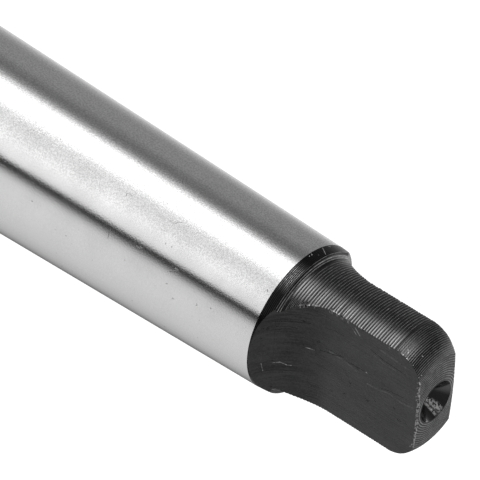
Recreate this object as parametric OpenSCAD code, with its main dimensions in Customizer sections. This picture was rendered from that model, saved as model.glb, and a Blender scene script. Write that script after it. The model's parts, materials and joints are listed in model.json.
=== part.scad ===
// Drill chuck arbor: one turned, blackened and ground piece of steel.
// It stands on the end face of its chuck taper, its axis is +Z, and its tang is at the top.
// Every diameter, length and radius is in millimetres.

/* [Chuck taper] */
// Diameter of the chuck taper at its thick end
chuck_big_d = 15.733; // [14:0.001:17]
// Length of the chuck taper
chuck_len = 24; // [16:0.5:40]
// Length in which the chuck taper grows by 1 mm in diameter
chuck_taper_run = 20.02; // [15:0.01:30]
// Chamfer round the end face of the chuck taper
chuck_chamfer = 0.8; // [0.3:0.1:1.5]

/* [Relief between the two tapers] */
// Width of the relief groove
relief_w = 2; // [1.2:0.1:6]
// Depth of the relief groove below the thick end of the chuck taper
relief_depth = 0.5; // [0.4:0.05:1.5]
// Radius in the corners of the relief groove
relief_r = 0.4; // [0.1:0.05:0.5]

/* [Morse taper shank] */
// Diameter of the shank at its gauge plane
gauge_d = 17.78; // [17.5:0.001:19]
// Length from the thick end of the shank to its gauge plane
gauge_offset = 5; // [2:0.5:10]
// Length from the gauge plane to the end of the tang
gauge_to_end = 75; // [60:0.5:80]
// Length in which the shank grows by 1 mm in diameter
shank_taper_run = 20.02; // [18:0.01:30]
// Chamfer round the thick end of the shank
shank_chamfer = 0.6; // [0.2:0.1:1]

/* [Shoulder of the tang] */
// Length from the small end of the ground taper to the end of the tang
tang_zone = 16; // [14:0.5:20]
// Length of the dark lead that the grinding wheel doesn't reach
lead_len = 1.15; // [0.5:0.05:1.5]
// Drop of that lead in radius, along its length
lead_drop = 0.1; // [0.05:0.05:0.2]
// Radius of the corner between the shoulder and the neck
neck_fillet = 0.4; // [0.2:0.05:0.5]

/* [Tang] */
// Diameter of the turned neck that the flats are milled in
neck_d = 13.5; // [12:0.05:13.6]
// Thickness across the two milled flats
tang_t = 5.2; // [4.5:0.05:8]
// Length of the flats, up to the start of their run-out
flat_len = 9.8; // [8:0.1:12]
// Radius of the cutter, which the run-out of each flat keeps
cutter_r = 6.4; // [5.5:0.1:8]
// Length over which the tang rounds off to its end face
end_round_len = 3.1; // [1.5:0.1:5]
// Diameter of the end face
end_d = 9.7; // [7:0.1:10.4]
// Height of the end face's middle above its edge, as a blunt cone
end_crown = 0.2; // [0.05:0.05:0.4]

/* [Centre holes] */
// Diameter of the pilot hole
pilot_d = 2; // [1:0.05:2.5]
// Length of the straight wall of the pilot hole
pilot_len = 2.6; // [1.5:0.1:5]
// Diameter of the mouth of the centre hole
mouth_d = 4.25; // [3.2:0.05:5.5]
// Whole angle of the cone that takes the lathe's centre
centre_angle = 60; // [60:15:90]

/* [Hidden] */
$fn = 96;

steel = [0.72, 0.72, 0.72];
drill_point_angle = 118;
// Overlap that makes two outlines join, and extra reach of a cut past the metal
join = 0.05;
reach = 2;

// Heights along the axis, from the foot up
chuck_top = chuck_len;
shank_start = chuck_top + relief_w;
gauge_z = shank_start + gauge_offset;
end_z = gauge_z + gauge_to_end;
ring_z = end_z - tang_zone;
shoulder_z = ring_z + lead_len;
flat_z = end_z - flat_len;
round_z = end_z - end_round_len;

// Radii that follow from the tapers
chuck_big_r = chuck_big_d / 2;
chuck_small_r = chuck_big_r - chuck_len / chuck_taper_run / 2;
relief_floor_r = chuck_big_r - relief_depth;
shank_big_r = (gauge_d + gauge_offset / shank_taper_run) / 2;
ring_r = (gauge_d - (gauge_to_end - tang_zone) / shank_taper_run) / 2;
shoulder_r = ring_r - lead_drop;
neck_r = neck_d / 2;
neck_corner_r = min(neck_fillet, shoulder_r - neck_r - join);
end_r = end_d / 2;
mouth_r = mouth_d / 2;
pilot_r = pilot_d / 2;
cone_depth = (mouth_r - pilot_r) / tan(centre_angle / 2);
tip_depth = pilot_r / tan(drill_point_angle / 2);

// Radius of the arc that leaves the neck smoothly and meets the edge of the end face
round_drop = neck_r - end_r;
round_rise = end_round_len - end_crown;
end_round_r = (round_rise * round_rise + round_drop * round_drop) / (2 * round_drop);

// Half outline of the chuck taper and its relief groove
module chuck_outline() {
    polygon([
        [0, 0],
        [chuck_small_r - chuck_chamfer, 0],
        [chuck_small_r, chuck_chamfer],
        [chuck_big_r, chuck_top],
        [relief_floor_r, chuck_top],
        [relief_floor_r, shank_start + join],
        [0, shank_start + join]
    ]);
}

// Half outline of the ground shank and the dark lead beyond it
module shank_outline() {
    polygon([
        [0, shank_start],
        [shank_big_r - shank_chamfer, shank_start],
        [shank_big_r, shank_start + shank_chamfer],
        [ring_r, ring_z],
        [shoulder_r, shoulder_z],
        [0, shoulder_z]
    ]);
}

// Half outline of the neck under the blunt cone of the end face, before its end is rounded
module neck_outline() {
    fall = end_crown * (neck_r - mouth_r) / (end_r - mouth_r);
    polygon([
        [0, ring_z],
        [neck_r, ring_z],
        [neck_r, end_z - fall],
        [mouth_r, end_z],
        [0, end_z]
    ]);
}

// Everything that the rounding of the tang's end leaves
module end_rounding() {
    arc_r = neck_r - end_round_r;
    translate([0, ring_z]) square([neck_r + join, round_z - ring_z]);
    translate([0, ring_z]) square([max(arc_r, mouth_r), tang_zone + reach]);
    translate([arc_r, round_z]) circle(end_round_r);
}

// Metal left in the inside corner at (r, z), rounded to a radius; side is 1 above the corner, -1 below
module corner_metal(r, z, radius, side) {
    difference() {
        translate([r - join, side > 0 ? z - join : z - radius]) square([radius + join, radius + join]);
        translate([r + radius, z + side * radius]) circle(radius);
    }
}

// The turned blank
module blank() {
    rotate_extrude() {
        chuck_outline();
        shank_outline();
        intersection() {
            neck_outline();
            end_rounding();
        }
        corner_metal(relief_floor_r, chuck_top, relief_r, 1);
        corner_metal(relief_floor_r, shank_start, relief_r, -1);
        corner_metal(neck_r, shoulder_z, neck_corner_r, 1);
    }
}

// What the cutter takes off the +Y side: the level flat, and the round run-out behind it
module flat_cut() {
    width = 2 * ring_r + 2 * reach;
    rotate([90, 0, 90])
        linear_extrude(height = width, center = true) {
            translate([tang_t / 2, flat_z]) square([ring_r, flat_len + reach]);
            translate([tang_t / 2 + cutter_r, flat_z]) circle(cutter_r);
        }
}

// Centre hole from the face at z = 0 upwards: a cone for the lathe's centre, then the pilot hole
module centre_hole() {
    rotate_extrude()
        polygon([
            [0, 0],
            [mouth_r, 0],
            [pilot_r, cone_depth],
            [pilot_r, cone_depth + pilot_len],
            [0, cone_depth + pilot_len + tip_depth]
        ]);
}

module arbor() {
    color(steel)
        difference() {
            blank();
            flat_cut();
            mirror([0, 1, 0]) flat_cut();
            centre_hole();
            translate([0, 0, end_z]) mirror([0, 0, 1]) centre_hole();
        }
}

arbor();
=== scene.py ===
"""Drill chuck arbor: one turned, blackened and ground piece of steel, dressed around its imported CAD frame.

The piece is one closed surface of revolution with two milled flats. Its half outline carries the real
feed grooves, each flat keeps the run-out of its cutter, and every finish is worked out in shader nodes.
"""
from __future__ import annotations

import json
import logging
import math
from dataclasses import dataclass
from enum import Enum

import bpy
import numpy as np
from mathutils import Matrix, Vector

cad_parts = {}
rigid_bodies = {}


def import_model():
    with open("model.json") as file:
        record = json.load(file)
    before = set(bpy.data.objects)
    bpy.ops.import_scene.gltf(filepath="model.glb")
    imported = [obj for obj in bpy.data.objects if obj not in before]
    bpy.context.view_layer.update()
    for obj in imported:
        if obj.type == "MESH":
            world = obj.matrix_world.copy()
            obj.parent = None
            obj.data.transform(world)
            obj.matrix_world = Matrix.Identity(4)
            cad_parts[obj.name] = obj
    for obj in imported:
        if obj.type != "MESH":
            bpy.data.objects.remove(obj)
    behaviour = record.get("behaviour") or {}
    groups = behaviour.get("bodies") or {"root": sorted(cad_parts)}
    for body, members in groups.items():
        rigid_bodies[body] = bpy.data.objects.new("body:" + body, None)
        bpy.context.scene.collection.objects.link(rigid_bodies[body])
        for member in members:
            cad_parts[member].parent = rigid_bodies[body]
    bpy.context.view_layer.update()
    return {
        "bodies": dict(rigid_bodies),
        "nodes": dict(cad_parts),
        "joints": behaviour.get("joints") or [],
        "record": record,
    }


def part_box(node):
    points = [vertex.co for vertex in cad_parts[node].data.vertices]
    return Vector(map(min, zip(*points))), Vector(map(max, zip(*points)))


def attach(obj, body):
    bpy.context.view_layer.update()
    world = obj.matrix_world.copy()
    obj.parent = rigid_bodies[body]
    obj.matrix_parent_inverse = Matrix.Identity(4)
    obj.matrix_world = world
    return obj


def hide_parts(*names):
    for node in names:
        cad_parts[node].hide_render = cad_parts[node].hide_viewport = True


log = logging.getLogger("arbor")

FloatArray = np.ndarray
Rng = np.random.Generator
Socket = bpy.types.NodeSocket
Pair = tuple[float, float]
Triple = tuple[float, float, float]
Colour = tuple[float, float, float, float]

MM = 0.001
SEED = 20261127
# What keeps a division from failing
TINY = 1e-9
# Distance of the milled surface where nothing is cut: more than any radius
UNCUT = 1.0
# Play in a test of whether a point is on an edge, and on the worn bevel
HAIR, BEVEL_SKIN = 0.001 * MM, 0.03 * MM
# Play in a test of whether a point is in the upper centre hole's cone, in radius and in height
CONE_MARGIN = (0.05 * MM, 0.2 * MM)
# Share of half a scratch's width that is full
LINE_CORE = 0.35
# Where the front flat lies, in millimetres
FLAT_Y = -2.6


def grey(level: float) -> Colour:
    """A neutral colour."""
    return (level, level, level, 1.0)


class Finish(Enum):
    """The finishes of the steel, in the order of the mesh's material slots."""

    GROUND = 0
    TURNED = 1
    MILLED = 2
    FACED = 3
    DRILLED = 4
    LEAD = 5
    ROUNDED = 6
    SHOULDER = 7


@dataclass(frozen=True)
class ArborSizes:
    """Radii, heights and lengths of the arbor, in metres; the foot is at z = 0 and the tang is at the top.

    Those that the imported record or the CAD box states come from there; the rest are the part's own.
    """

    end_z: float
    gauge_r: float
    gauge_z: float
    chuck_r: float
    chuck_top: float
    half_tang: float
    pilot_r: float
    pilot_len: float
    taper_run: float = 20.02
    chuck_chamfer: float = 0.8 * MM
    relief_w: float = 2.0 * MM
    relief_depth: float = 0.5 * MM
    relief_corner: float = 0.4 * MM
    shank_chamfer: float = 0.6 * MM
    tang_zone: float = 16.0 * MM
    lead_len: float = 1.15 * MM
    lead_drop: float = 0.1 * MM
    neck_corner: float = 0.4 * MM
    neck_r: float = 6.75 * MM
    flat_len: float = 9.8 * MM
    cutter_r: float = 6.4 * MM
    end_round_len: float = 3.1 * MM
    end_r: float = 4.85 * MM
    end_crown: float = 0.2 * MM
    mouth_r: float = 2.125 * MM
    cone_half_angle: float = math.radians(30)
    drill_half_angle: float = math.radians(59)

    @classmethod
    def from_frame(cls, frame: dict) -> "ArborSizes":
        """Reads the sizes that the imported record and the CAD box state.


        Returns:
            The sizes of this arbor.
        """
        mounts = {m["name"]: m for m in frame["record"]["mounts"]}
        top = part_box("arbor")[1][2]
        return cls(
            end_z=top,
            gauge_r=mounts["morse_shank"]["dims"]["r_mm"] * MM,
            gauge_z=mounts["morse_shank"]["pos_m"][2],
            chuck_r=mounts["chuck_taper"]["dims"]["r_mm"] * MM,
            chuck_top=mounts["chuck_taper"]["pos_m"][2],
            half_tang=abs(mounts["flat_front"]["pos_m"][1]),
            pilot_r=mounts["centre_in_tang"]["dims"]["r_mm"] * MM,
            pilot_len=mounts["centre_in_tang"]["dims"]["length_mm"] * MM,
        )

    @property
    def shank_start(self) -> float:
        """Height of the thick end of the shank."""
        return self.chuck_top + self.relief_w

    @property
    def ring_z(self) -> float:
        """Height of the small end of the ground taper."""
        return self.end_z - self.tang_zone

    @property
    def ring_r(self) -> float:
        """Radius at the small end of the ground taper."""
        return self.gauge_r - (self.ring_z - self.gauge_z) / self.taper_run / 2

    @property
    def shank_big_r(self) -> float:
        """Radius at the thick end of the shank."""
        return self.gauge_r + (self.gauge_z - self.shank_start) / self.taper_run / 2

    @property
    def shoulder_z(self) -> float:
        """Height at which the lead drops to the neck."""
        return self.ring_z + self.lead_len

    @property
    def shoulder_r(self) -> float:
        """Radius of the lead where it drops to the neck."""
        return self.ring_r - self.lead_drop

    @property
    def flat_z(self) -> float:
        """Height at which the level flats start, above their run-outs."""
        return self.end_z - self.flat_len

    @property
    def cone_depth(self) -> float:
        """Depth of the cone of a centre hole."""
        return (self.mouth_r - self.pilot_r) / math.tan(self.cone_half_angle)

    @property
    def hole_depth(self) -> float:
        """Depth of a centre hole down to its drill point."""
        return self.cone_depth + self.pilot_len + self.pilot_r / math.tan(self.drill_half_angle)


@dataclass
class Stretch:
    """One run of the half outline, from its first point to its last.

    Args:
        radius: distances from the axis.
        height: heights above the foot.
        finish: the finish of the surface that the run sweeps.
        sharp: whether the edge at its first point is crisp.
        crests: for each point, whether a crisp crest runs round there; none if left out.
    """

    radius: FloatArray
    height: FloatArray
    finish: Finish
    sharp: bool = True
    crests: FloatArray | None = None

    def crisp_points(self) -> FloatArray:
        """For each point, whether the outline turns sharply there."""
        crisp = np.zeros(len(self.radius), dtype=bool) if self.crests is None else self.crests.copy()
        crisp[0] = self.sharp
        return crisp


def smooth_noise(rng: Rng, shape: tuple[int, int], reach: Pair) -> FloatArray:
    """White noise blurred by a bell curve along both axes, wrapped round, and scaled to a spread of 1.

    Args:
        rng: the source of random numbers.
        shape: rows and columns.
        reach: width of the bell along rows and along columns, in cells.

    Returns:
        The noise as an array of that shape.
    """
    spectrum = np.fft.rfft2(rng.standard_normal(shape))
    row_f = np.fft.fftfreq(shape[0])[:, None] * reach[0]
    col_f = np.fft.rfftfreq(shape[1])[None, :] * reach[1]
    spectrum *= np.exp(-2.0 * math.pi ** 2 * (row_f ** 2 + col_f ** 2))
    spectrum[0, 0] = 0.0
    noise = np.fft.irfft2(spectrum, s=shape)
    return noise / max(float(noise.std()), TINY)


@dataclass(frozen=True)
class FeedMarks:
    """The grooves of a round-nosed lathe tool: shallow hollows side by side, with crests between them.

    Args:
        pitch: distance from crest to crest.
        depth: depth of a groove.
        rows: rows of points in each groove.
        swing: how much the depth varies from groove to groove, as a share of it.
    """

    pitch: float
    depth: float
    rows: int
    swing: float = 0.1

    def cut(self, run: Stretch, rng: Rng) -> Stretch:
        """Sinks the grooves square to a run.

        Each groove is a parabola: depth times (1 - (2 * part - 1) ** 2), where part goes from 0 to 1 across
        it.

        Args:
            run: a smooth run.
            rng: the source of random numbers.

        Returns:
            The run with its grooves.
        """
        step = np.hypot(np.diff(run.radius), np.diff(run.height))
        way = np.concatenate([[0.0], np.cumsum(step)])
        grooves = max(1, round(way[-1] / self.pitch))
        within = np.linspace(0, 1, self.rows, endpoint=False)
        share = np.concatenate([(np.arange(grooves)[:, None] + within).ravel(), [grooves]])
        at = share / grooves * way[-1]
        radius, height = np.interp(at, way, run.radius), np.interp(at, way, run.height)
        slope_r, slope_h = np.gradient(radius, at), np.gradient(height, at)
        length = np.hypot(slope_r, slope_h)
        number = np.minimum(share.astype(int), grooves - 1)
        part = share - number
        depth = self.depth * (1.0 + self.swing * rng.standard_normal(grooves))[number]
        sink = depth * (1.0 - (2.0 * part - 1.0) ** 2)
        sink[[0, -1]] = 0.0
        return Stretch(radius - sink * slope_h / length, height + sink * slope_r / length, run.finish,
                       run.sharp, part == 0.0)


class Pen:
    """Draws the half outline run by run, each from where the last one ended."""

    def __init__(self, start: Pair, rng: Rng) -> None:
        """Starts at a radius and height, with no runs."""
        self.at, self.rng = start, rng
        self.runs: list[Stretch] = []

    def add(self, run: Stretch, marks: FeedMarks | None) -> None:
        """Keeps a run, grooved if it has marks, and moves to its last point."""
        self.at = (run.radius[-1], run.height[-1])
        self.runs.append(marks.cut(run, self.rng) if marks else run)

    def line(self, end: Pair, steps: int | FloatArray, finish: Finish, marks: FeedMarks | None = None,
             sharp: bool = True) -> None:
        """Adds a straight run.

        Args:
            end: radius and height of its last point.
            steps: number of equal steps, or the share of the way at each point.
            finish: finish of the swept surface.
            marks: its feed grooves, if any.
            sharp: whether the edge at its start is crisp.
        """
        share = np.linspace(0.0, 1.0, steps + 1) if isinstance(steps, int) else steps
        radius, height = (first + (last - first) * share for first, last in zip(self.at, end))
        self.add(Stretch(radius, height, finish, sharp), marks)

    def arc(self, centre: Pair, size: float, turn: Pair, steps: int, finish: Finish,
            marks: FeedMarks | None = None) -> None:
        """Adds a round run that starts smoothly: centre plus size times cosine and sine of an angle.

        Args:
            centre: radius and height of its centre.
            size: its own radius.
            turn: first and last angle in degrees, 0 pointing away from the axis and 90 up.
            steps: number of equal steps.
            finish: finish of the swept surface.
            marks: its feed grooves, if any.
        """
        angle = np.radians(np.linspace(*turn, steps + 1))
        radius, height = centre[0] + size * np.cos(angle), centre[1] + size * np.sin(angle)
        self.add(Stretch(radius, height, finish, False), marks)


@dataclass(frozen=True)
class Blank:
    """The half outline of the whole arbor, from the bottom of one centre hole round to that of the other.

    Besides the feed grooves of each surface it says in how many steps a surface with grooves and the ground
    taper are drawn. The last steps of the taper, where the cutters bite its small end, start at the second
    share of bite, and those before them end at the first.
    """

    sizes: ArborSizes
    foot_marks: FeedMarks = FeedMarks(0.30 * MM, 0.012 * MM, 3)
    lead_marks: FeedMarks = FeedMarks(0.17 * MM, 0.013 * MM, 5)
    fillet_marks: FeedMarks = FeedMarks(0.21 * MM, 0.014 * MM, 3)
    neck_marks: FeedMarks = FeedMarks(0.29 * MM, 0.048 * MM, 6)
    round_marks: FeedMarks = FeedMarks(0.19 * MM, 0.012 * MM, 4)
    face_marks: FeedMarks = FeedMarks(0.26 * MM, 0.018 * MM, 4)
    marked_steps: int = 40
    shank_steps: int = 27
    bitten_steps: int = 6
    bite: Pair = (0.9985, 0.9988)

    def runs(self, rng: Rng) -> list[Stretch]:
        """Every run of the outline in order.

        Args:
            rng: the source of random numbers.

        Returns:
            The runs, each starting where the last one ends.
        """
        s, fine = self.sizes, self.marked_steps
        small_r = s.chuck_r - s.chuck_top / s.taper_run / 2
        floor_r, corner = s.chuck_r - s.relief_depth, s.relief_corner
        corner_r, fillet = floor_r + corner, s.neck_corner
        drop, rise = s.neck_r - s.end_r, s.end_round_len - s.end_crown
        round_r = (rise ** 2 + drop ** 2) / (2 * drop)
        round_z = s.end_z - s.end_round_len
        wall_end = s.cone_depth + s.pilot_len
        pen = Pen((0.0, s.hole_depth), rng)
        pen.line((s.pilot_r, wall_end), 1, Finish.DRILLED)
        pen.line((s.pilot_r, s.cone_depth), 3, Finish.DRILLED)
        pen.line((s.mouth_r, 0.0), 4, Finish.DRILLED)
        pen.line((small_r - s.chuck_chamfer, 0.0), fine, Finish.FACED, self.foot_marks)
        pen.line((small_r, s.chuck_chamfer), 2, Finish.TURNED)
        pen.line((s.chuck_r, s.chuck_top), 10, Finish.GROUND)
        pen.line((corner_r, s.chuck_top), 1, Finish.TURNED)
        pen.arc((corner_r, s.chuck_top + corner), corner, (-90, -180), 4, Finish.TURNED)
        pen.line((floor_r, s.shank_start - corner), 6, Finish.TURNED, sharp=False)
        pen.arc((corner_r, s.shank_start - corner), corner, (180, 90), 4, Finish.TURNED)
        pen.line((s.shank_big_r - s.shank_chamfer, s.shank_start), 4, Finish.TURNED, sharp=False)
        pen.line((s.shank_big_r, s.shank_start + s.shank_chamfer), 2, Finish.TURNED)
        pen.line((s.ring_r, s.ring_z), self.shank_shares(), Finish.GROUND)
        pen.line((s.shoulder_r, s.shoulder_z), fine, Finish.LEAD, self.lead_marks)
        pen.line((s.neck_r + fillet, s.shoulder_z), 2, Finish.SHOULDER)
        pen.arc((s.neck_r + fillet, s.shoulder_z + fillet), fillet, (-90, -180), 20, Finish.SHOULDER,
                self.fillet_marks)
        pen.line((s.neck_r, round_z), fine, Finish.TURNED, self.neck_marks, False)
        pen.arc((s.neck_r - round_r, round_z), round_r, (0, math.degrees(math.asin(rise / round_r))), 60,
                Finish.ROUNDED, self.round_marks)
        pen.line((s.mouth_r, s.end_z), fine, Finish.FACED, self.face_marks)
        pen.line((s.pilot_r, s.end_z - s.cone_depth), 6, Finish.DRILLED)
        pen.line((s.pilot_r, s.end_z - wall_end), 3, Finish.DRILLED)
        pen.line((0.0, s.end_z - s.hole_depth), 1, Finish.DRILLED)
        return pen.runs

    def shank_shares(self) -> FloatArray:
        """Shares of the way up the ground taper, crowded together where the cutters bite its small end."""
        return np.concatenate([np.linspace(0.0, self.bite[0], self.shank_steps + 1),
                               np.linspace(self.bite[1], 1.0, self.bitten_steps + 1)])


@dataclass(frozen=True)
class Burr:
    """A bruised stretch of a milled edge, where bare steel shows.

    Args:
        edge: which of the four edges, in the order of Arbor.corner_columns.
        low: height at which it starts.
        high: height at which it ends.
        bare: how bare it is, from 0 to 1.
    """

    edge: int
    low: float
    high: float
    bare: float = 1.0

    def window(self, height: FloatArray) -> FloatArray:
        """How bare the edge is at each height."""
        return self.bare * ((height > self.low) & (height < self.high))


@dataclass
class Grid:
    """The arbor's points as rows by columns, and what is known of each row.

    Args:
        x: x of every point.
        y: y of every point.
        z: height of each row.
        flat: distance of the milled surface from the axis at each row.
        corner: angle of the flats' corners at each row.
        band: number of the finish above each row.
        crisp: whether a crisp edge or crest runs round each row.
    """

    x: FloatArray
    y: FloatArray
    z: FloatArray
    flat: FloatArray
    corner: FloatArray
    band: FloatArray
    crisp: FloatArray

    def off_heading(self, zone: Pair) -> FloatArray:
        """Angle between each point and the middle of a patch (the rubbed spots in the centre hole and the
        lead's painted highlight), as a multiple of half its width.
        """
        turn = np.arctan2(self.y, self.x) - zone[0]
        return np.abs((turn + math.pi) % (2 * math.pi) - math.pi) / zone[1]


@dataclass(frozen=True)
class Arbor:
    """The whole arbor as one closed mesh: rows follow the outline, and columns follow the edges of the flats.

    Args:
        flat_cols: columns across a flat.
        side_cols: columns round a side.
        crowd: share of a flat's width inside its two outermost, narrow columns.
        least_edge: least corner angle of a row whose edges are crisp.
        chip: size of the chips in the edges of the flats.
        chip_share: the same for each of the four edges, as a share of it.
        chip_reach: reach of the fine and the slow noise that the chips follow, in rows.
        chip_side: how far the columns beside an edge follow it.
        end_bare: how bare the edges are at the end face.
        bevel: depth of the worn bevel at the end of a flat, and its height below.
        crest_levels: how bare the groove crests of each finish are.
        lead_sheen: heading of the painted highlight on the lead's crests, and half its width.
        lead_sheen_fade: distance from its middle at which that painted highlight has faded out, in half
            widths.
        cone_rubs: heading and half width of each rubbed patch in the upper centre hole.
        cone_fade: the same distance for those.
        ease: how fast the corners of the back flat's end fall away, per metre.
        ease_len: height over which that sets in.
        skin: least distance at which a point counts as off the flat.
    """

    sizes: ArborSizes
    flat_cols: int = 48
    side_cols: int = 34
    crowd: float = 0.985
    least_edge: float = math.radians(20)
    chip: float = 0.016 * MM
    chip_share: tuple[float, ...] = (1.0, 0.3, 0.6, 0.6)
    chip_reach: Pair = (1.3, 9.0)
    chip_side: float = 0.22
    burrs: tuple[Burr, ...] = (
        Burr(0, 93.0 * MM, 94.2 * MM), Burr(0, 95.3 * MM, 96.4 * MM, 0.7), Burr(0, 98.6 * MM, 99.0 * MM, 0.6),
        Burr(0, 103.6 * MM, 104.3 * MM, 0.8), Burr(2, 97.0 * MM, 98.1 * MM, 0.8),
        Burr(3, 94.0 * MM, 94.7 * MM, 0.6))
    end_bare: float = 0.75
    bevel: float = 0.13 * MM
    bevel_len: float = 0.24 * MM
    crest_levels: tuple[tuple[Finish, float], ...] = (
        (Finish.TURNED, 0.62), (Finish.SHOULDER, 0.7), (Finish.ROUNDED, 0.4), (Finish.FACED, 0.62))
    # Painted highlight: the lead's crests are bare only on this stretch, which mirrors the bright softbox.
    lead_sheen: Pair = (math.radians(-161), math.radians(9))
    lead_sheen_fade: float = 1.7
    cone_rubs: tuple[Pair, ...] = (
        (math.radians(30), math.radians(8)), (math.radians(11), math.radians(3)))
    cone_fade: float = 1.6
    ease: float = 5.0
    ease_len: float = 1.6 * MM
    skin: float = 0.004 * MM

    def flat_height(self, height: FloatArray) -> FloatArray:
        """Distance of the milled surface from the axis at each height.

        Above the start of the flat it is half the tang's thickness; below, the cutter's circle lifts it:
        half + R - sqrt(R ** 2 - (start - z) ** 2); and further down nothing is cut. A small worn bevel leads
        to the end face.

        Args:
            height: heights above the foot.

        Returns:
            The distances.
        """
        s = self.sizes
        below = np.clip(s.flat_z - height, 0.0, None)
        inside = np.clip(s.cutter_r ** 2 - below ** 2, 0.0, None)
        worn = self.bevel * np.clip((height - s.end_z) / self.bevel_len + 1.0, 0.0, 1.0)
        lifted = s.half_tang + s.cutter_r - np.sqrt(inside) - worn
        return np.where(below < s.cutter_r, lifted, UNCUT)

    def grid(self, runs: list[Stretch]) -> Grid:
        """Places the columns of every row on its section, a circle with its two sides cut level.

        The corner stands at the angle whose cosine is flat / radius. Across a flat the columns are spread
        evenly in x, but for a narrow one at each edge, with y the lesser of the flat and of the circle; round
        the sides, evenly by angle.

        Args:
            runs: the half outline.

        Returns:
            The points.
        """
        radius = np.concatenate([run.radius[:-1] for run in runs])[1:]
        z = np.concatenate([run.height[:-1] for run in runs])[1:]
        band = np.concatenate([np.full(len(run.radius) - 1, run.finish.value) for run in runs])[1:]
        crisp = np.concatenate([run.crisp_points()[:-1] for run in runs])[1:]
        flat = self.flat_height(z)
        corner = np.arccos(np.clip(flat / np.maximum(radius, TINY), 0.0, 1.0))
        edge = np.maximum(corner, self.least_edge)[:, None]
        r, h = radius[:, None], flat[:, None]
        share = np.concatenate([[-1.0], np.linspace(-self.crowd, self.crowd, self.flat_cols - 1)])
        across = share[None, :] * r * np.sin(edge)
        level = np.minimum(h, np.sqrt(np.clip(r ** 2 - across ** 2, 0.0, None)))
        turn = edge + np.linspace(0.0, 1.0, self.side_cols, endpoint=False)[None, :] * (math.pi - 2 * edge)
        side_x, side_y = r * np.sin(turn), np.clip(-r * np.cos(turn), -h, h)
        x = np.concatenate([across, side_x, -across, -side_x], axis=1)
        y = np.concatenate([-level, side_y, level, -side_y], axis=1)
        return Grid(x, y, z, flat, corner, band, crisp)

    def ease_far_corners(self, grid: Grid) -> None:
        """Rounds the corners of the back flat's end: y stays below half - ease * rise ** 2 * x ** 2.

        Rise goes from 0 to 1 over the last stretch before the end face.
        """
        rise = np.clip((grid.z - self.sizes.end_z + self.ease_len) / self.ease_len, 0.0, 1.0)[:, None]
        eased = self.sizes.half_tang - self.ease * rise ** 2 * grid.x ** 2
        grid.y = np.minimum(grid.y, np.where(rise > 0.0, eased, grid.y))

    def corner_columns(self) -> list[int]:
        """The four columns that run along the edges of the flats."""
        half = self.flat_cols + self.side_cols
        return [0, self.flat_cols, half, half + self.flat_cols]

    def break_edges(self, grid: Grid, rng: Rng) -> FloatArray:
        """Chips the milled edges: each corner point moves inwards, square to the corner, by a random depth.

        The depth is 0.3 + 0.4 * fine + 1.4 * deep chips. Deep is fine + 0.6 * slow - 1.3 + 1.2 * bare and at
        least 0, where fine and slow are two noises along the edge. An edge is bare at the end face, in its
        burrs, and a little where the slow noise is above 1.5.

        Args:
            grid: the points, which are moved.
            rng: the source of random numbers.

        Returns:
            How bare each point is, from 0 to 1.
        """
        s, (rows, cols) = self.sizes, grid.x.shape
        wear = np.zeros((rows, cols))
        crisp = (grid.corner > self.least_edge) & (grid.z > s.ring_z)
        at_end = grid.z > s.end_z - s.end_crown - HAIR
        for edge, col in enumerate(self.corner_columns()):
            fine, slow = (smooth_noise(rng, (rows, 1), (reach, 1.0))[:, 0] for reach in self.chip_reach)
            bare = self.end_bare * at_end + 0.5 * np.clip(slow - 1.5, 0.0, 1.0)
            bare += sum(burr.window(grid.z) for burr in self.burrs if burr.edge == edge)
            deep = np.clip(fine + 0.6 * slow - 1.3 + 1.2 * bare, 0.0, 2.5)
            depth = self.chip * self.chip_share[edge] * np.clip(0.3 + 0.4 * fine + 1.4 * deep, -0.3, 4.0)
            way_x = (np.cos(grid.corner) - 1.0) * np.sign(grid.x[:, col])
            way_y = -np.sin(grid.corner) * np.sign(grid.y[:, col])
            move = depth * crisp / np.maximum(np.hypot(way_x, way_y), TINY)
            wear[:, col] = np.clip(bare, 0.0, 1.0) * crisp
            for step, share in ((0, 1.0), (-1, self.chip_side), (1, self.chip_side)):
                here = (col + step) % cols
                grid.x[:, here] += share * move * way_x
                grid.y[:, here] += share * move * way_y
        return wear

    def worn_spots(self, grid: Grid) -> FloatArray:
        """How bare each point is in the rubbed upper centre hole and on the bevel at each flat's end."""
        s = self.sizes
        high = grid.z > s.end_z - s.cone_depth - CONE_MARGIN[1]
        in_cone = high[:, None] & (np.hypot(grid.x, grid.y) < s.mouth_r - CONE_MARGIN[0])
        rubbed = sum(np.clip(self.cone_fade - grid.off_heading(zone), 0.0, 1.0) for zone in self.cone_rubs)
        on_bevel = (grid.z > s.end_z - self.bevel_len) & (grid.corner > 0.0)
        level = np.abs(np.abs(grid.y) - grid.flat[:, None]) < BEVEL_SKIN
        return np.maximum(in_cone * np.minimum(rubbed, 1.0), on_bevel[:, None] * level)

    def crest_shine(self, grid: Grid) -> FloatArray:
        """How thin the black is on the crests between the feed grooves, from 0 to 1 at each point.

        It is the same all round the neck, the rounding and the end face. On the lead it is a painted
        highlight:
        bare crests only on one stretch, where they mirror the softbox, fading out at both ends.
        """
        shine = sum(level * (grid.band == finish.value) for finish, level in self.crest_levels)[:, None]
        # On the lead the crests are painted bare only where they mirror the softbox: a painted highlight.
        zone = np.clip(self.lead_sheen_fade - grid.off_heading(self.lead_sheen), 0.0, 1.0)
        on_lead = (grid.band == Finish.LEAD.value)[:, None]
        return grid.crisp[:, None] * np.where(on_lead, zone, shine * np.ones_like(zone))

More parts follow.
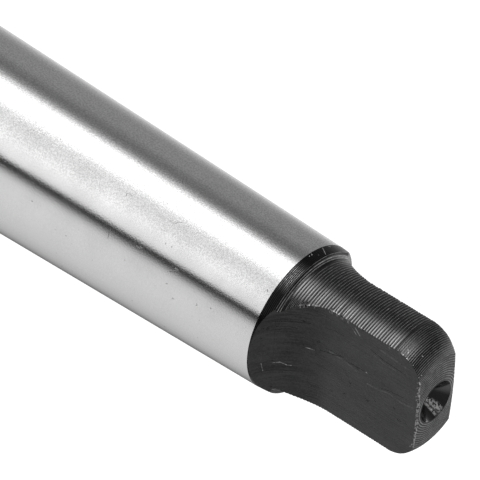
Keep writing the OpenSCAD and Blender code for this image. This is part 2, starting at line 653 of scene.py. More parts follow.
    @staticmethod
    def faces(rows: int, cols: int) -> list[list[int]]:
        """The faces between the rows and then a fan at either end, as numbers of points."""
        col = np.arange(cols)
        after = (col + 1) % cols
        row, last = np.arange(rows - 1)[:, None] * cols, (rows - 1) * cols
        quads = np.stack([row + col, row + after, row + cols + after, row + cols + col], axis=-1)
        foot_fan = np.stack([np.full(cols, rows * cols), after, col], axis=-1)
        top_fan = np.stack([np.full(cols, rows * cols + 1), last + col, last + after], axis=-1)
        return quads.reshape(-1, 4).tolist() + foot_fan.tolist() + top_fan.tolist()

    def build(self, rng: Rng) -> bpy.types.Object:
        """Works out every point, joins the rows into faces and closes both ends on the axis.

        Args:
            rng: the source of random numbers.

        Returns:
            The finished object, without its materials.
        """
        runs = Blank(self.sizes).runs(rng)
        grid = self.grid(runs)
        self.ease_far_corners(grid)
        wear = self.break_edges(grid, rng)
        wear = np.maximum(wear, self.worn_spots(grid))
        rows, cols = grid.x.shape
        points = np.stack([grid.x, grid.y, np.broadcast_to(grid.z[:, None], wear.shape)], axis=-1)
        ends = [[0.0, 0.0, runs[0].height[0]], [0.0, 0.0, runs[-1].height[-1]]]
        faces = self.faces(rows, cols)

        mesh = bpy.data.meshes.new("arbor_steel_body")
        mesh.from_pydata(points.reshape(-1, 3).tolist() + ends, [], faces)
        kind = np.where(self.on_flat(grid), Finish.MILLED.value, grid.band[:-1, None]).reshape(-1)
        slots = np.concatenate([kind, np.full(2 * cols, Finish.DRILLED.value)])
        mesh.polygons.foreach_set("material_index", slots.astype(np.int32))
        mesh.polygons.foreach_set("use_smooth", np.ones(len(faces), dtype=bool))
        for name, values in (("wear", wear), ("crest", self.crest_shine(grid))):
            carried = np.concatenate([values.reshape(-1), [0.0, 0.0]]).astype(np.float32)
            mesh.attributes.new(name, "FLOAT", "POINT").data.foreach_set("value", carried)
        self.mark_crisp_edges(mesh, grid)
        mesh.update()
        mesh.validate()
        obj = bpy.data.objects.new("arbor_steel_body", mesh)
        bpy.context.scene.collection.objects.link(obj)
        log.info("arbor: %d rows, %d columns, %d triangles", rows, cols, 2 * rows * cols)
        return obj

    def on_flat(self, grid: Grid) -> FloatArray:
        """Which faces lie on a milled flat or its run-out, as rows by columns.

        A face does if all its corners are on the surface. A face beside a chipped edge does if its two
        corners away from the edge are.
        """
        half = self.flat_cols + self.side_cols
        column = np.arange(grid.x.shape[1]) % half
        near = np.abs(grid.y) >= grid.flat[:, None] - self.skin
        left = near[:-1] & near[1:]
        right = np.roll(left, -1, axis=1)
        inner = (left & right) & (column < self.flat_cols)
        return inner | (right & (column == 0)) | (left & (column == self.flat_cols - 1))

    def mark_crisp_edges(self, mesh: bpy.types.Mesh, grid: Grid) -> None:
        """Marks the edges between two runs and along the flats as sharp."""
        rows, cols = grid.x.shape
        ends = np.empty(len(mesh.edges) * 2, dtype=np.int32)
        mesh.edges.foreach_get("vertices", ends)
        ends = ends.reshape(-1, 2).T
        inside = (ends < rows * cols).all(axis=0)
        (row_a, row_b), (col_a, col_b) = np.minimum(ends // cols, rows - 1), ends % cols
        along_row = inside & (row_a == row_b) & grid.crisp[row_a]
        cut = grid.corner > self.least_edge
        up = inside & (col_a == col_b) & np.isin(col_a, self.corner_columns()) & cut[row_a] & cut[row_b]
        mark = mesh.attributes.new("sharp_edge", "BOOLEAN", "EDGE")
        mark.data.foreach_set("value", (along_row | up).astype(bool))


@dataclass(frozen=True)
class Grain:
    """A noise pattern fixed to the steel.

    Args:
        cells: how many cells it has per metre along x, y and z.
        detail: number of finer layers.
        rough: strength of the finer layers.
        shift: where it starts.
        span: noise at which a patchy pattern starts to show, and at which it is full.
        least: how much of a patchy pattern shows everywhere.
    """

    cells: Triple
    detail: float = 2.0
    rough: float = 0.5
    shift: Triple = (0.0, 0.0, 0.0)
    span: Pair | None = None
    least: float = 0.0


WEAR = Grain((5200, 5200, 5200), span=(0.42, 0.56))


@dataclass(frozen=True)
class Scratch:
    """A scratch or a hair: straight lines from point to point on the surface, in millimetres."""

    points: tuple[Triple, ...]
    half_width: float


def scratches(*rows: tuple) -> tuple[Scratch, ...]:
    """Scratches from rows that each give half the width and then the points, in millimetres.

    A point with two numbers gives x and z and lies on the front flat.
    """
    return tuple(Scratch(tuple(p if len(p) == 3 else (p[0], FLAT_Y, p[1]) for p in points), half_width)
                 for half_width, *points in rows)


def specks(*spots: Triple) -> tuple[Scratch, ...]:
    """Small bruises that show bare steel: at each spot, in millimetres, a very short line."""
    return scratches(*((0.055, spot, (spot[0] + 0.09, spot[1] + 0.03, spot[2] - 0.07)) for spot in spots))


class Nodes:
    """A short way to write shader nodes: each call adds one and returns the output that is used."""

    def __init__(self, tree: bpy.types.NodeTree) -> None:
        """Starts with an empty tree."""
        self.tree = tree
        tree.nodes.clear()

    def add(self, kind: str, settings: dict | None = None, **sockets: object) -> bpy.types.Node:
        """Adds a node.

        Args:
            kind: the node's type without the leading ShaderNode.
            settings: attributes to set on the node.
            sockets: input sockets by name with underscores for spaces, or by number after one; a socket is
                linked, a value is set.

        Returns:
            The node.
        """
        node = self.tree.nodes.new("ShaderNode" + kind)
        for name, value in (settings or {}).items():
            setattr(node, name, value)
        for name, value in sockets.items():
            key = int(name[1:]) if name[0] == "_" and name[1:].isdigit() else name.replace("_", " ")
            self.feed(node.inputs[key], value)
        return node

    def feed(self, socket: Socket, value: object) -> None:
        """Links or sets one input socket."""
        if isinstance(value, Socket):
            self.tree.links.new(value, socket)
        else:
            socket.default_value = value

    def output(self, shader: bpy.types.Node, kind: str = "Material") -> None:
        """Sends a shader to the material's or the world's output."""
        self.add("Output" + kind, Surface=shader.outputs[0])

    def math(self, operation: str, a: object, b: object = 0.0, c: object = 0.0,
             clamp: bool = False) -> Socket:
        """One arithmetic step on numbers."""
        node = self.add("Math", {"operation": operation, "use_clamp": clamp})
        for socket, value in zip(node.inputs, (a, b, c)):
            self.feed(socket, value)
        return node.outputs[0]

    def times(self, a: object, b: object) -> Socket:
        """The product of two numbers."""
        return self.math("MULTIPLY", a, b)

    def most(self, a: object, b: object) -> Socket:
        """The greater of two numbers."""
        return self.math("MAXIMUM", a, b)

    def vector(self, operation: str, a: object, b: object = (0.0, 0.0, 0.0)) -> Socket:
        """One step on vectors; the dot product and the length come out as numbers."""
        node = self.add("VectorMath", {"operation": operation}, _0=a, _1=b)
        return node.outputs["Value" if operation in ("DOT_PRODUCT", "LENGTH") else "Vector"]

    def spread(self, value: object, low: float, high: float, out_low: float = 0.0, out_high: float = 1.0,
               smooth: bool = False) -> Socket:
        """Carries the range low to high over to out_low to out_high, clamped."""
        curve = "SMOOTHSTEP" if smooth else "LINEAR"
        node = self.add("MapRange", {"clamp": True, "interpolation_type": curve})
        for socket, item in zip(node.inputs, (value, low, high, out_low, out_high)):
            self.feed(socket, item)
        return node.outputs["Result"]

    def mix(self, share: object, a: object, b: object) -> Socket:
        """Mixes two colours."""
        return self.add("Mix", {"data_type": "RGBA"}, Factor=share, _6=a, _7=b).outputs[2]

    def stain(self, shade: Socket, mask: Socket, tone: Pair) -> Socket:
        """Covers a colour where the mask is full; the tone is a grey and how much of it covers."""
        return self.mix(self.times(mask, tone[1]), shade, grey(tone[0]))

    def place(self) -> Socket:
        """Object coordinates, which stay with the piece."""
        return self.add("TexCoord").outputs["Object"]

    def noise(self, grain: Grain) -> Socket:
        """A noise pattern, from 0 to 1."""
        where = self.add("Mapping", {"vector_type": "POINT"}, Vector=self.place(), Location=grain.shift,
                         Scale=grain.cells).outputs["Vector"]
        noise = self.add("TexNoise", {"noise_dimensions": "3D"}, Vector=where, Scale=1.0, Detail=grain.detail,
                         Roughness=grain.rough).outputs["Fac"]
        return self.spread(noise, *grain.span, grain.least) if grain.span else noise

    def carried(self, name: str) -> Socket:
        """A number that the mesh carries at each point."""
        return self.add("Attribute", {"attribute_type": "GEOMETRY", "attribute_name": name}).outputs["Fac"]

    def line(self, start: Triple, end: Triple, half_width: float) -> Socket:
        """A fine line on the surface, 1 on it and 0 beside it.

        The distance to it is the length of (p - start) - share * (end - start), where share is the
        projection on the line, held between 0 and 1.

        Args:
            start: one end, in millimetres.
            end: the other end, in millimetres.
            half_width: half its width, in millimetres.

        Returns:
            The line.
        """
        first, span = np.array(start) * MM, (np.array(end) - np.array(start)) * MM
        off = self.vector("SUBTRACT", self.place(), tuple(first))
        share = self.vector("DOT_PRODUCT", off, tuple(span / (span @ span)))
        share = self.math("MULTIPLY", share, 1.0, clamp=True)
        along = self.add("CombineXYZ", **{axis: self.times(share, step) for axis, step in zip("XYZ", span)})
        gap = self.vector("LENGTH", self.vector("SUBTRACT", off, along.outputs[0]))
        return self.spread(gap, half_width * MM, half_width * LINE_CORE * MM)

    def lines(self, marks: tuple[Scratch, ...]) -> Socket:
        """All of a finish's scratches together, 1 on any of them."""
        total = self.math("ADD", 0.0, 0.0)
        for mark in marks:
            for start, end in zip(mark.points, mark.points[1:]):
                total = self.most(total, self.line(start, end, mark.half_width))
        return total

    def rubbed(self) -> Socket:
        """Specks of bare steel where the mesh says that the surface is worn."""
        return self.math("MULTIPLY", self.carried("wear"), self.noise(WEAR), clamp=True)

    def bump(self, height: object, strength: float, distance: float) -> Socket:
        """Turns a height into a bent normal."""
        return self.add("Bump", Height=height, Strength=strength, Distance=distance).outputs["Normal"]


LEAD_FLECKS = scratches(
    (0.05, (-6.61, 3.34, 90.09), (-6.55, 3.45, 90.25)),
    (0.06, (-7.35, 0.83, 90.18), (-7.36, 0.75, 90.26)),
    (0.05, (-7.38, 0.50, 90.20), (-7.38, 0.42, 90.24)),
    (0.035, (-6.98, 2.47, 90.11), (-7.08, 1.91, 90.93)),
    (0.045, (-7.27, 1.30, 90.60), (-7.29, 1.20, 90.72)),
    (0.04, (-7.30, -1.10, 90.75), (-7.26, -1.25, 90.85)),
    (0.05, (5.2, 5.1, 90.4), (4.9, 5.4, 90.5)))
NECK_FLECKS = scratches(
    (0.035, (-6.70, 0.90, 99.3), (-6.74, 0.45, 99.45), (-6.73, 0.30, 99.25)),
    (0.035, (-6.55, 1.60, 103.0), (-6.58, 1.30, 103.25)),
    (0.05, (-6.30, -2.42, 101.6), (-6.36, -2.26, 101.7)))
FACE_FLECKS = specks(
    (-4.25, -2.42, 105.80), (-3.80, -2.45, 105.86), (-3.40, -2.50, 105.93), (-2.72, -2.30, 106.0),
    (-2.43, -2.52, 106.0), (-2.05, -2.50, 106.0), (0.99, -2.43, 106.0), (-4.55, 0.21, 105.91))
ROUND_FLECKS = specks(
    (-4.50, -2.50, 105.62), (-4.60, -2.20, 105.69), (-5.87, -1.33, 104.93), (-5.50, -2.50, 104.87),
    (-6.27, -2.04, 103.87), (-6.22, -2.15, 103.95), (-6.30, -1.95, 103.80), (-5.83, -1.28, 105.0))
END_FLECKS = specks(
    (-4.05, -2.6, 105.72), (-3.91, -2.6, 105.62), (-3.30, -2.6, 105.65), (-2.70, -2.6, 105.74),
    (-2.23, -2.6, 105.63), (-1.84, -2.6, 105.69), (-1.48, -2.6, 105.93), (4.12, -2.6, 105.45))


def new_material(name: str) -> tuple[bpy.types.Material, Nodes]:
    """Makes a material with no nodes in it yet."""
    material = bpy.data.materials.new(name)
    material.use_nodes = True
    return material, Nodes(material.node_tree)


@dataclass(frozen=True)
class GroundSteel:
    """Bright steel ground round its axis: fine grain, a streaked gloss, a few pits, hairs and scratches.

    The rings of the grinding smear the gloss along the axis. The grain also speckles the colour, strongly on
    the side that coarse_side points to and faintly on the other. Each range gives the two values between
    which a pattern or a distance takes effect.
    """

    level: float = 0.75
    roughness: float = 0.19
    rough_swing: float = 0.02
    streak: float = 0.75
    rings: Grain = Grain((900, 900, 12000), 2.0, 0.6)
    ring_height: float = 0.08
    grain: Grain = Grain((6600, 6600, 6900), 1.0, 0.7)
    grain_range: Pair = (0.36, 0.64)
    cloud: Grain = Grain((260, 260, 320))
    cloud_range: Pair = (0.3, 0.7)
    pits: Grain = Grain((2600, 2600, 2600), 1.0, span=(0.77, 0.80))
    relief: float = 0.0042 * MM
    scratch_depth: float = 0.8
    scratch_dullness: float = 0.45
    coarse_side: Triple = (-0.651, 0.759, 0.0)
    side_range: Pair = (-0.9 * MM, 0.3 * MM)
    fine_speckle: float = 0.025
    coarse_speckle: float = 0.15
    hair_tone: Pair = (0.05, 0.42)
    hairs: tuple[Scratch, ...] = scratches(
        (0.04, (-6.60, -4.26, 72.31), (-6.74, -4.04, 72.25), (-6.79, -3.94, 72.63), (-6.74, -4.01, 72.87)),
        (0.04, (-6.61, -4.01, 77.49), (-6.59, -4.01, 78.05), (-6.72, -3.79, 78.21), (-6.84, -3.52, 78.81)),
        (0.08, (-7.18, -2.94, 76.11), (-7.16, -2.97, 76.2)),
        (0.06, (-1.52, -7.49, 80.99), (-1.66, -7.45, 81.05), (-1.62, -7.46, 81.2)),
        (0.06, (-2.60, -7.20, 80.0), (-2.66, -7.18, 80.12)),
        (0.07, (-7.67, 0.95, 77.89), (-7.67, 0.86, 77.96)),
        (0.04, (7.2, -3.0, 60.2), (7.3, -2.6, 60.9), (7.2, -2.9, 61.5)),
        (0.04, (3.9, 7.0, 52.0), (3.2, 7.3, 52.3), (2.9, 7.5, 53.1)))
    bright: tuple[Scratch, ...] = scratches(
        (0.05, (-4.16, -6.57, 75.73), (-4.07, -6.61, 76.09), (-4.21, -6.52, 76.32), (-4.27, -6.49, 76.1)),
        (0.05, (-4.18, -6.42, 80.28), (-4.17, -6.41, 80.64), (-3.73, -6.69, 79.94)),
        (0.04, (-4.16, -6.66, 72.58), (-3.49, -7.03, 72.70)))

    def material(self) -> bpy.types.Material:
        """Builds the material."""
        mat, n = new_material("ground_steel")
        grain = n.noise(self.grain)
        side = n.vector("DOT_PRODUCT", n.place(), self.coarse_side)
        speckle = n.times(n.spread(grain, *self.grain_range, -1.0, 1.0),
                          n.spread(side, *self.side_range, self.fine_speckle, self.coarse_speckle))
        rough = n.spread(n.noise(self.cloud), *self.cloud_range, self.roughness - self.rough_swing,
                         self.roughness + self.rough_swing)
        pit = n.noise(self.pits)
        dark, light = n.lines(self.hairs), n.lines(self.bright)
        height = n.math("ADD", n.times(n.noise(self.rings), self.ring_height), grain)
        sunk = n.times(n.math("ADD", pit, n.math("ADD", dark, light)), self.scratch_depth)
        level = n.math("MULTIPLY_ADD", speckle, self.level, self.level)
        shade = n.add("CombineXYZ", X=level, Y=level, Z=level).outputs[0]
        shade = n.stain(shade, n.most(dark, pit), self.hair_tone)
        shader = n.add("BsdfPrincipled", Base_Color=shade, Metallic=1.0, Anisotropic=self.streak,
                       Roughness=n.math("ADD", rough, n.times(light, self.scratch_dullness)),
                       Tangent=n.add("CombineXYZ", X=0.0, Y=0.0, Z=1.0).outputs["Vector"],
                       Normal=n.bump(n.math("SUBTRACT", height, sunk), 1.0, self.relief))
        n.output(shader)
        return mat


@dataclass(frozen=True)
class BlackSteel:
    """Steel under a thin black oxide: dark, with a weak sharp gloss, rubbed bare on crests and chipped edges;
    on the lead the bare crests are a painted highlight.

    Args:
        name: the material's name.
        colour: colour of the oxide.
        roughness: roughness of its gloss.
        gloss: index of refraction, which sets how strong the gloss is.
        flecks: spots of bare steel.
    """

    name: str
    colour: Colour
    roughness: float
    gloss: float
    flecks: tuple[Scratch, ...] = ()
    fleck_share: float = 0.9
    dull_share: float = 0.6
    cloud: Grain = Grain((700, 700, 700), 3.0, 0.6, span=(0.35, 0.65))
    grain: Grain = Grain((7000, 7000, 7000), 3.0, 0.65)
    grain_range: Pair = (0.3, 0.7)
    rough_range: Pair = (-0.05, 0.07)
    rings: Grain = Grain((300, 300, 9000))
    ring_height: float = 0.5
    grain_height: float = 0.5
    patches: Grain = Grain((1500, 1500, 3400), span=(0.35, 0.62), least=0.35)
    relief: float = 0.008 * MM
    relief_share: float = 0.4
    crest_power: float = 1.5
    bare_grey: float = 0.5
    bare_metal: float = 0.45

    def material(self) -> bpy.types.Material:
        """Builds the material."""
        mat, n = new_material(self.name)
        grain = n.noise(self.grain)
        dull = tuple(c * self.dull_share for c in self.colour[:3]) + (1.0,)
        shade = n.mix(n.noise(self.cloud), dull, self.colour)
        rings = n.times(n.noise(self.rings), self.ring_height)
        height = n.math("ADD", rings, n.times(grain, self.grain_height))
        # The crest value is worn crests, and on the lead a painted highlight.
        crest = n.times(n.math("POWER", n.carried("crest"), self.crest_power), n.noise(self.patches))
        bare = n.most(n.rubbed(), crest)
        if self.flecks:
            bare = n.most(bare, n.times(n.lines(self.flecks), self.fleck_share))
        rough = n.spread(grain, *self.grain_range, *(self.roughness + swing for swing in self.rough_range))
        shader = n.add("BsdfPrincipled", Base_Color=n.mix(bare, shade, grey(self.bare_grey)), Roughness=rough,
                       Metallic=n.times(bare, self.bare_metal), IOR=self.gloss,
                       Normal=n.bump(height, self.relief_share, self.relief))
        n.output(shader)
        return mat


@dataclass(frozen=True)
class MilledSteel:
    """Milled steel under black oxide: streaks along the cutter's travel, smears, pits and scratches.

    Each tone gives a mark's own grey and how much of it covers the steel. One noise pattern breaks up the
    bright and dark scratches and the smears.
    """

    colour: Colour = (0.003, 0.003, 0.003, 1.0)
    pale: Colour = (0.032, 0.032, 0.033, 1.0)
    roughness: float = 0.42
    rough_swing: float = 0.1
    gloss: float = 1.5
    fine: Grain = Grain((7800, 260, 300), 2.0, 0.7)
    patches: Grain = Grain((620, 260, 230), 2.0, 0.6, (0.2, 0.1, 0.4), (0.40, 0.60), 0.15)
    grain: Grain = Grain((6500, 4500, 5200), 2.0, 0.6)
    grain_weight: float = 0.45
    smudge: Grain = Grain((900, 330, 300), 3.0, 0.65, (0.7, 0.3, 0.1))
    smudge_weight: float = 0.5
    tone_swing: float = 0.17
    streak_swing: float = 0.15
    pits: Grain = Grain((1900, 1900, 1500), 1.0, span=(0.74, 0.77))
    breaks: Grain = Grain((3600, 3600, 3600), span=(0.38, 0.58), least=0.15)
    relief: float = 0.045 * MM
    gouge_depth: float = 1.2
    smear_tone: Pair = (0.12, 0.42)
    scratch_tone: Pair = (0.42, 0.8)
    worn_tone: Pair = (0.36, 0.85)
    bright: tuple[Scratch, ...] = scratches(
        (0.055, (-0.64, -3.25, 93.39), (-0.60, -2.94, 94.13)),
        (0.04, (1.50, -5.08, 91.14), (1.46, -4.57, 91.57), (1.83, -4.11, 92.07), (1.85, -3.87, 92.37)),
        (0.035, (1.32, -6.00, 90.54), (2.30, -5.81, 90.65)),
        (0.05, (-5.85, 98.22), (-5.22, 98.85)),
        (0.035, (-5.60, 97.9), (-5.05, 98.5)),
        (0.07, (-1.40, 99.86), (-1.36, 99.96)),
        (0.04, (2.4, 2.6, 101.0), (1.8, 2.6, 102.6)),
        (0.05, (4.23, 105.45), (3.72, 105.67))) + END_FLECKS
    dark: tuple[Scratch, ...] = scratches(
        (0.07, (-3.05, -6.12, 90.48), (-3.07, -5.27, 91.0), (-3.01, -4.28, 91.88), (-2.88, -3.69, 92.62)),
        (0.08, (-0.87, -2.78, 94.7), (-1.05, 96.0), (-1.46, 96.97)),
        (0.09, (1.01, 98.09), (1.06, 98.2)),
        (0.08, (2.85, 97.49), (2.7, 97.75)),
        (0.07, (-3.68, -4.9, 91.28), (-3.61, -3.84, 92.42), (-3.73, -3.11, 93.69)),
        (0.05, (-3.79, -2.72, 94.97), (-4.01, 96.07), (-4.05, 97)),
        (0.06, (-1.37, -2.65, 95.36), (-1.48, 96.66), (-1.47, 97.2)),
        (0.07, (-1.2, 97.22), (-1.35, 98.95), (-1.44, 99.75)),
        (0.07, (-4.44, 100.18), (-4.1, 101.79), (-3.98, 104.19)),
        (0.06, (-0.68, 101.82), (-0.91, 102.6), (-1.18, 104.7)),
        (0.09, (1.84, 100.24), (1.88, 100.35)),
        (0.08, (1.85, 103.81), (1.92, 104)),
        (0.08, (1.71, 104.75), (1.79, 104.94)),
        (0.08, (0.68, 103.15), (0.77, 103.39)))
    smears: tuple[Scratch, ...] = scratches(
        (0.16, (-5.05, 101.32), (-4.95, 102.65), (-4.79, 104.12)),
        (0.12, (-0.12, 100.13), (-0.21, 101.33), (-0.57, 102.63)),
        (0.11, (-0.57, 102.63), (-0.34, 103.98), (-0.57, 105.29)),
        (0.07, (-3.98, 100.64), (-3.72, 101.83), (-3.73, 103.14)),
        (0.12, (-1.16, -2.62, 95.68), (-1.17, 97.42), (-0.79, 98.74)))

    def material(self) -> bpy.types.Material:
        """Builds the material."""
        mat, n = new_material("black_milled")
        streaks = n.times(self.centred(n, self.fine), n.noise(self.patches))
        tone = n.math("MULTIPLY_ADD", self.centred(n, self.grain), self.grain_weight, streaks)
        tone = n.math("MULTIPLY_ADD", self.centred(n, self.smudge), self.smudge_weight, tone)
        broken = n.noise(self.breaks)
        scored, gouged, smeared = (n.times(n.lines(marks), broken)
                                   for marks in (self.bright, self.dark, self.smears))
        hollow = n.most(gouged, n.noise(self.pits))
        shade = n.mix(n.spread(tone, -self.tone_swing, self.tone_swing), self.colour, self.pale)
        shade = n.stain(shade, smeared, self.smear_tone)
        shade = n.mix(hollow, shade, self.colour)
        shade = n.stain(shade, scored, self.scratch_tone)
        shade = n.stain(shade, n.rubbed(), self.worn_tone)
        rough = n.spread(streaks, -self.streak_swing, self.streak_swing, self.roughness - self.rough_swing,
                         self.roughness + self.rough_swing)
        height = n.math("SUBTRACT", tone, n.times(hollow, self.gouge_depth))
        shader = n.add("BsdfPrincipled", Base_Color=shade, Roughness=rough, IOR=self.gloss,
                       Normal=n.bump(height, 1.0, self.relief))
        n.output(shader)
        return mat

    @staticmethod
    def centred(n: Nodes, grain: Grain) -> Socket:
        """A noise pattern around 0."""
        return n.math("SUBTRACT", n.noise(grain), 0.5)


@dataclass(frozen=True)
class PhotoView:
    """The camera of the photograph, fitted to outlines measured in it.

    The axis leans towards the viewer by tilt and runs down to the right at slant; roll is the side of the
    flats. The small end of the ground taper lies at offset from the picture's middle, at that scale.
    """

    tilt: float = math.radians(27.231)
    slant: float = math.radians(31.624)
    roll: float = math.radians(139.399)
    focal_px: float = 4880.1
    picture_px: float = 480.0
    offset_px: Pair = (59.962, 76.923)
    scale_px: float = 81.44
    sensor_mm: float = 36.0

    def axes(self) -> FloatArray:
        """The arbor's x, y and z as columns in camera space, with x right, y down and z forward."""
        lean, slant, roll = self.tilt, self.slant, self.roll
        level, drop = math.cos(lean), -math.sin(lean)
        along = np.array([level * math.cos(slant), level * math.sin(slant), drop])
        side = np.array([math.sin(slant), -math.cos(slant), 0.0])
        front = np.cross(along, side)
        x_axis = -math.sin(roll) * side + math.cos(roll) * front
        y_axis = -math.cos(roll) * side - math.sin(roll) * front
        return np.stack([x_axis, y_axis, along], axis=1)

    def heading(self) -> tuple[Vector, Vector]:
        """The level directions, in the arbor's space, towards the camera and towards its upper side."""
        across, down = math.cos(self.roll), math.sin(self.roll)
        return Vector((across, -down, 0.0)), Vector((-down, -across, 0.0))

    def camera(self, sizes: ArborSizes) -> bpy.types.Object:
        """Makes the camera and gives it to the scene.

        Args:
            sizes: sizes of the arbor, for the ring that the fit is tied to.

        Returns:
            The camera.
        """
        axes = self.axes()
        unit = sizes.ring_r / self.scale_px
        ring = np.array([*self.offset_px, self.focal_px]) * unit
        place = np.array([0.0, 0.0, sizes.ring_z]) - axes.T @ ring
        right, up, back = axes[0], -axes[1], -axes[2]
        matrix = Matrix([[right[i], up[i], back[i], place[i]] for i in range(3)] + [[0, 0, 0, 1]])
        data = bpy.data.cameras.new("photo_camera")
        data.sensor_width = self.sensor_mm
        data.lens = self.focal_px / self.picture_px * self.sensor_mm
        data.clip_start, data.clip_end = 0.01, 20.0
        camera = bpy.data.objects.new("photo_camera", data)
        camera.matrix_world = matrix
        bpy.context.scene.collection.objects.link(camera)
        bpy.context.scene.camera = camera
        return camera


@dataclass(frozen=True)
class Band:
    """One ring of the room that mirroring steel sees.

    Args:
        start: height at which it begins to show, as the z of a direction.
        full: height from which it shows alone.
        levels: heading in degrees and brightness, in rising order.
        least: how much of it shows below its start.
    """

    start: float
    full: float
    levels: tuple[Pair, ...]
    least: float = 0.0


SCREENS = Band(-0.80, -0.58, (
    (-180, 0.10), (-168, 0.15), (-156, 0.28), (-142, 0.51), (-115, 0.71), (-62, 0.91), (-50, 0.88),
    (-44, 0.68), (-38, 0.22), (-34, 0.03), (-28.5, 0.0), (-26, 0.76), (-22, 1.16), (-4, 1.40), (18, 1.08),
    (27, 1.08), (32, 1.38), (38, 1.68), (60, 1.7), (66, 0.85), (72, 0.31), (80, 0.18), (88, 0.21),
    (100, 0.30), (130, 0.28), (146, 0.42), (160, 0.68), (180, 0.85)), 0.05)
MIDDLE = Band(-0.36, -0.26, (
    (-180, 0.05), (-150, 0.20), (-125, 0.62), (-80, 0.62), (-60, 0.14), (-40, 0.03), (20, 0.03), (32, 0.35),
    (56, 0.40), (68, 0.10), (76, 0.03), (100, 0.03), (112, 0.15), (135, 0.5), (160, 0.9), (180, 0.9)))
WALLS = Band(-0.20, -0.02, (
    (-180, 0.28), (-150, 0.30), (-115, 0.45), (-80, 0.42), (-50, 0.05), (18, 0.15), (28, 4.0), (36, 6.2),
    (46, 6.0), (56, 3.0), (62, 1.1), (68, 0.45), (78, 0.12), (106, 0.12), (118, 0.35), (128, 1.2),
    (140, 2.6), (154, 2.6), (180, 1.20)))
CEILING = Band(0.22, 0.48, (
    (-180, 0.70), (-155, 0.30), (-125, 0.42), (-95, 0.38), (-65, 0.10), (0, 0.08), (50, 0.22), (70, 0.05),
    (110, 0.08), (128, 0.8), (140, 1.50), (160, 1.0), (180, 0.70)))


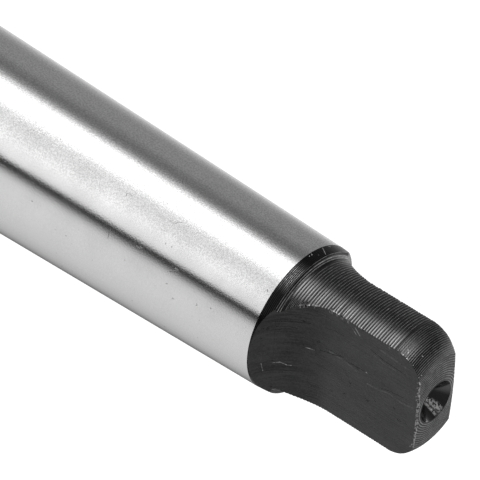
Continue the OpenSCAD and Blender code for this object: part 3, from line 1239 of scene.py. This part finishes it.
@dataclass(frozen=True)
class Studio:
    """Pale floor, an even room, and the light and dark screens round the arbor that the steel mirrors.

    Args:
        view: the camera, whose heading the screens and the lamp are set out from.
        paper: least and greatest grey of the floor's grain.
        shadow_reach: distance from the arbor at which the floor's own light starts to grow.
        near_glow: that light close to the arbor.
        far_glow: that light far away.
        bands: what the steel mirrors, from the ground up.
        room: brightness of the room on matt surfaces.
        key_size: width and depth of the lamp.
        key_spot: where it hangs: towards the camera, towards the upper side, and above the foot.
    """

    view: PhotoView
    floor_size: float = 3.0
    paper: Pair = (0.78, 0.80)
    shadow_reach: float = 0.12
    near_glow: float = 0.34
    far_glow: float = 0.8
    bands: tuple[Band, ...] = (SCREENS, MIDDLE, WALLS, CEILING)
    room: float = 0.62
    key_power: float = 9.0
    key_size: Pair = (1.2, 1.0)
    key_spot: Triple = (0.35, 0.45, 1.3)

    def floor(self) -> None:
        """A wide level floor under the foot, white to the camera except where the arbor shades it.

        Its colour is worked out as lit pale grey plus a little light of its own, which grows away from the
        arbor, so that open floor reaches white and a shadow stays visible.
        """
        half = self.floor_size / 2
        corners = [(-half, -half, 0.0), (half, -half, 0.0), (half, half, 0.0), (-half, half, 0.0)]
        mesh = bpy.data.meshes.new("studio_floor")
        mesh.from_pydata(corners, [], [(0, 1, 2, 3)])
        floor = bpy.data.objects.new("studio_floor", mesh)
        bpy.context.scene.collection.objects.link(floor)
        mat, n = new_material("floor_paper")
        shade = n.mix(n.noise(Grain((900, 900, 900))), grey(self.paper[0]), grey(self.paper[1]))
        paper = n.add("BsdfDiffuse", Color=shade)
        away = n.vector("LENGTH", n.place())
        glow = n.spread(away, self.shadow_reach, 4 * self.shadow_reach, self.near_glow, self.far_glow)
        seen = n.add("LightPath").outputs["Is Camera Ray"]
        lift = n.add("Emission", Color=grey(1.0), Strength=n.times(seen, glow))
        n.output(n.add("AddShader", _0=paper.outputs[0], _1=lift.outputs[0]))
        mesh.materials.append(mat)
        floor.visible_glossy = False

    def world(self) -> None:
        """The room: white to the camera, even to matt surfaces, and bands of screens to mirroring ones.

        The heading is the angle of a direction round the arbor, 0 towards the camera. The screens stand low
        round the arbor and fade out towards the ground right under it. Above them come a dim band, the walls
        with one bright softbox, and the ceiling, which is brightest behind the arbor.
        """
        world = bpy.data.worlds.new("studio_room")
        bpy.context.scene.world = world
        world.use_nodes = True
        n = Nodes(world.node_tree)
        way = n.add("TexCoord").outputs["Generated"]
        front, side = (n.vector("DOT_PRODUCT", way, tuple(v)) for v in self.view.heading())
        turn = n.math("MULTIPLY_ADD", n.math("ARCTAN2", side, front), 0.5 / math.pi, 0.5)
        height = n.add("SeparateXYZ", Vector=way).outputs["Z"]
        mirrored = grey(0.0)
        for band in self.bands:
            share = n.spread(height, band.start, band.full, band.least, 1.0, True)
            mirrored = n.mix(share, mirrored, self.greys(n, turn, band.levels))
        path = n.add("LightPath")
        lit = n.mix(path.outputs["Is Glossy Ray"], grey(self.room), mirrored)
        seen = n.mix(path.outputs["Is Camera Ray"], lit, grey(1.0))
        n.output(n.add("Background", Color=seen, Strength=1.0), "World")

    def greys(self, n: Nodes, turn: Socket, levels: tuple[Pair, ...]) -> Socket:
        """Greys that follow the heading.

        Args:
            n: the world's nodes.
            turn: the heading, from 0 at -180 degrees to 1 at 180.
            levels: heading in degrees and brightness, in rising order.

        Returns:
            The colour.
        """
        ramp = n.add("ValToRGB", Fac=turn)
        stops = ramp.color_ramp.elements
        stops[0].color, stops[1].color = grey(levels[0][1]), grey(levels[-1][1])
        for heading, level in levels[1:-1]:
            stops.new((heading + 180) / 360).color = grey(level)
        return ramp.outputs["Color"]

    def lamps(self) -> None:
        """One big soft lamp overhead, a little to the camera's left."""
        data = bpy.data.lights.new("overhead_softbox", "AREA")
        data.shape, data.energy = "RECTANGLE", self.key_power
        data.size, data.size_y = self.key_size
        lamp = bpy.data.objects.new("overhead_softbox", data)
        lamp.visible_glossy = False
        front, side = self.view.heading()
        spot = front * self.key_spot[0] + side * self.key_spot[1] + Vector((0, 0, self.key_spot[2]))
        lamp.matrix_world = Matrix.Translation(spot) @ (-spot).to_track_quat("-Z", "Y").to_matrix().to_4x4()
        bpy.context.scene.collection.objects.link(lamp)


def main() -> None:
    """Builds the camera, the arbor, its finishes and the studio."""
    logging.basicConfig(level=logging.INFO, format="%(name)s: %(message)s")
    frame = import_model()
    scene = bpy.context.scene
    scene.view_settings.view_transform = "Standard"
    sizes = ArborSizes.from_frame(frame)
    view = PhotoView()
    view.camera(sizes)
    rng = np.random.default_rng(SEED)
    body = Arbor(sizes).build(rng)
    black, deep, worn = (0.0045, 0.0045, 0.0047, 1.0), grey(0.004), (0.006, 0.006, 0.0062, 1.0)
    finishes = {
        Finish.GROUND: GroundSteel().material(),
        Finish.TURNED: BlackSteel("black_turned", black, 0.12, 1.8, NECK_FLECKS).material(),
        Finish.MILLED: MilledSteel().material(),
        Finish.FACED: BlackSteel("black_faced", worn, 0.24, 1.36, FACE_FLECKS).material(),
        Finish.DRILLED: BlackSteel("black_drilled", deep, 0.15, 2.1).material(),
        Finish.LEAD: BlackSteel("black_lead", deep, 0.16, 1.27, LEAD_FLECKS).material(),
        Finish.ROUNDED: BlackSteel("black_rounded", black, 0.26, 1.55, ROUND_FLECKS).material(),
        Finish.SHOULDER: BlackSteel("black_shoulder", deep, 0.32, 1.42).material(),
    }
    for finish in Finish:
        body.data.materials.append(finishes[finish])
    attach(body, "root")
    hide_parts("arbor")
    log.info("body: placed")
    studio = Studio(view)
    studio.floor()
    studio.world()
    studio.lamps()


if __name__ == "__main__":
    main()
